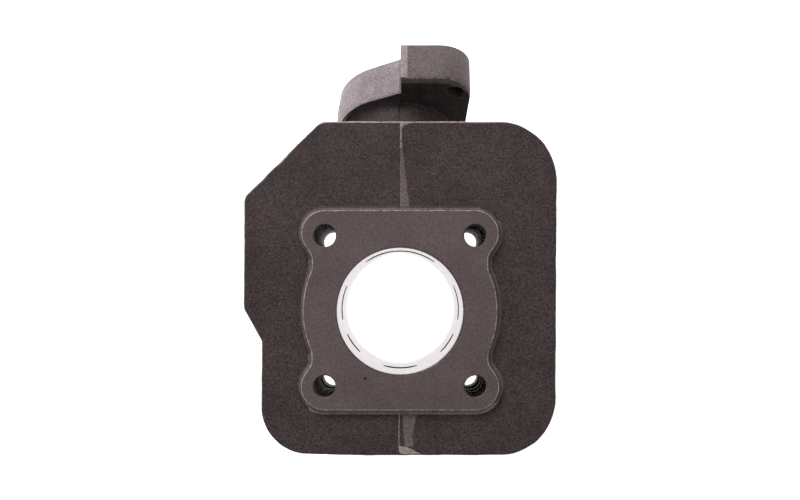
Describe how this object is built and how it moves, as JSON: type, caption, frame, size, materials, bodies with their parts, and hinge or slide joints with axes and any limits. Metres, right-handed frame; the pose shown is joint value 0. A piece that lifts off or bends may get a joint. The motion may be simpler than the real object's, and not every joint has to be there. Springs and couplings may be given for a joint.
{
  "type": "engine cylinder",
  "caption": "Air-cooled two-stroke engine cylinder: black cast iron barrel with cooling fins, machined head gasket pad, honed ported bore and a tilted exhaust outlet flange.",
  "frame": {"origin": "on the bore axis in the plane of the crankcase gasket face", "axes": "+Z along the bore from the crankcase to the head, +Y to the exhaust side, +X to the right seen from the head"},
  "size_m": [0.0996, 0.1327, 0.076],
  "materials": {
    "cast_skin": "as-cast, blackened, fine sand grain",
    "machined_pad": "face milled, blackened, semi-matt",
    "honed_barrel": "honed bright inside, as-cast black outside"
  },
  "bodies": {
    "root": {"head_gasket_pad": "machined_pad", "fin_top": "cast_skin", "fin_second": "cast_skin", "fin_third": "cast_skin", "fin_fourth": "cast_skin", "crankcase_flange": "cast_skin", "spigot": "honed_barrel", "barrel_wall_upper": "honed_barrel", "port_belt": "honed_barrel", "barrel_wall_lower": "honed_barrel", "stud_column_exhaust_left": "cast_skin", "stud_column_exhaust_right": "cast_skin", "stud_column_rear_left": "cast_skin", "stud_column_rear_right": "cast_skin", "transfer_duct_left": "cast_skin", "transfer_duct_right": "cast_skin", "aux_duct_left": "cast_skin", "aux_duct_right": "cast_skin", "boost_duct": "cast_skin", "exhaust_throat": "cast_skin", "exhaust_elbow": "cast_skin", "exhaust_flange": "cast_skin", "exhaust_lug_upper": "cast_skin", "exhaust_lug_lower": "cast_skin"}
  },
  "joints": []
}
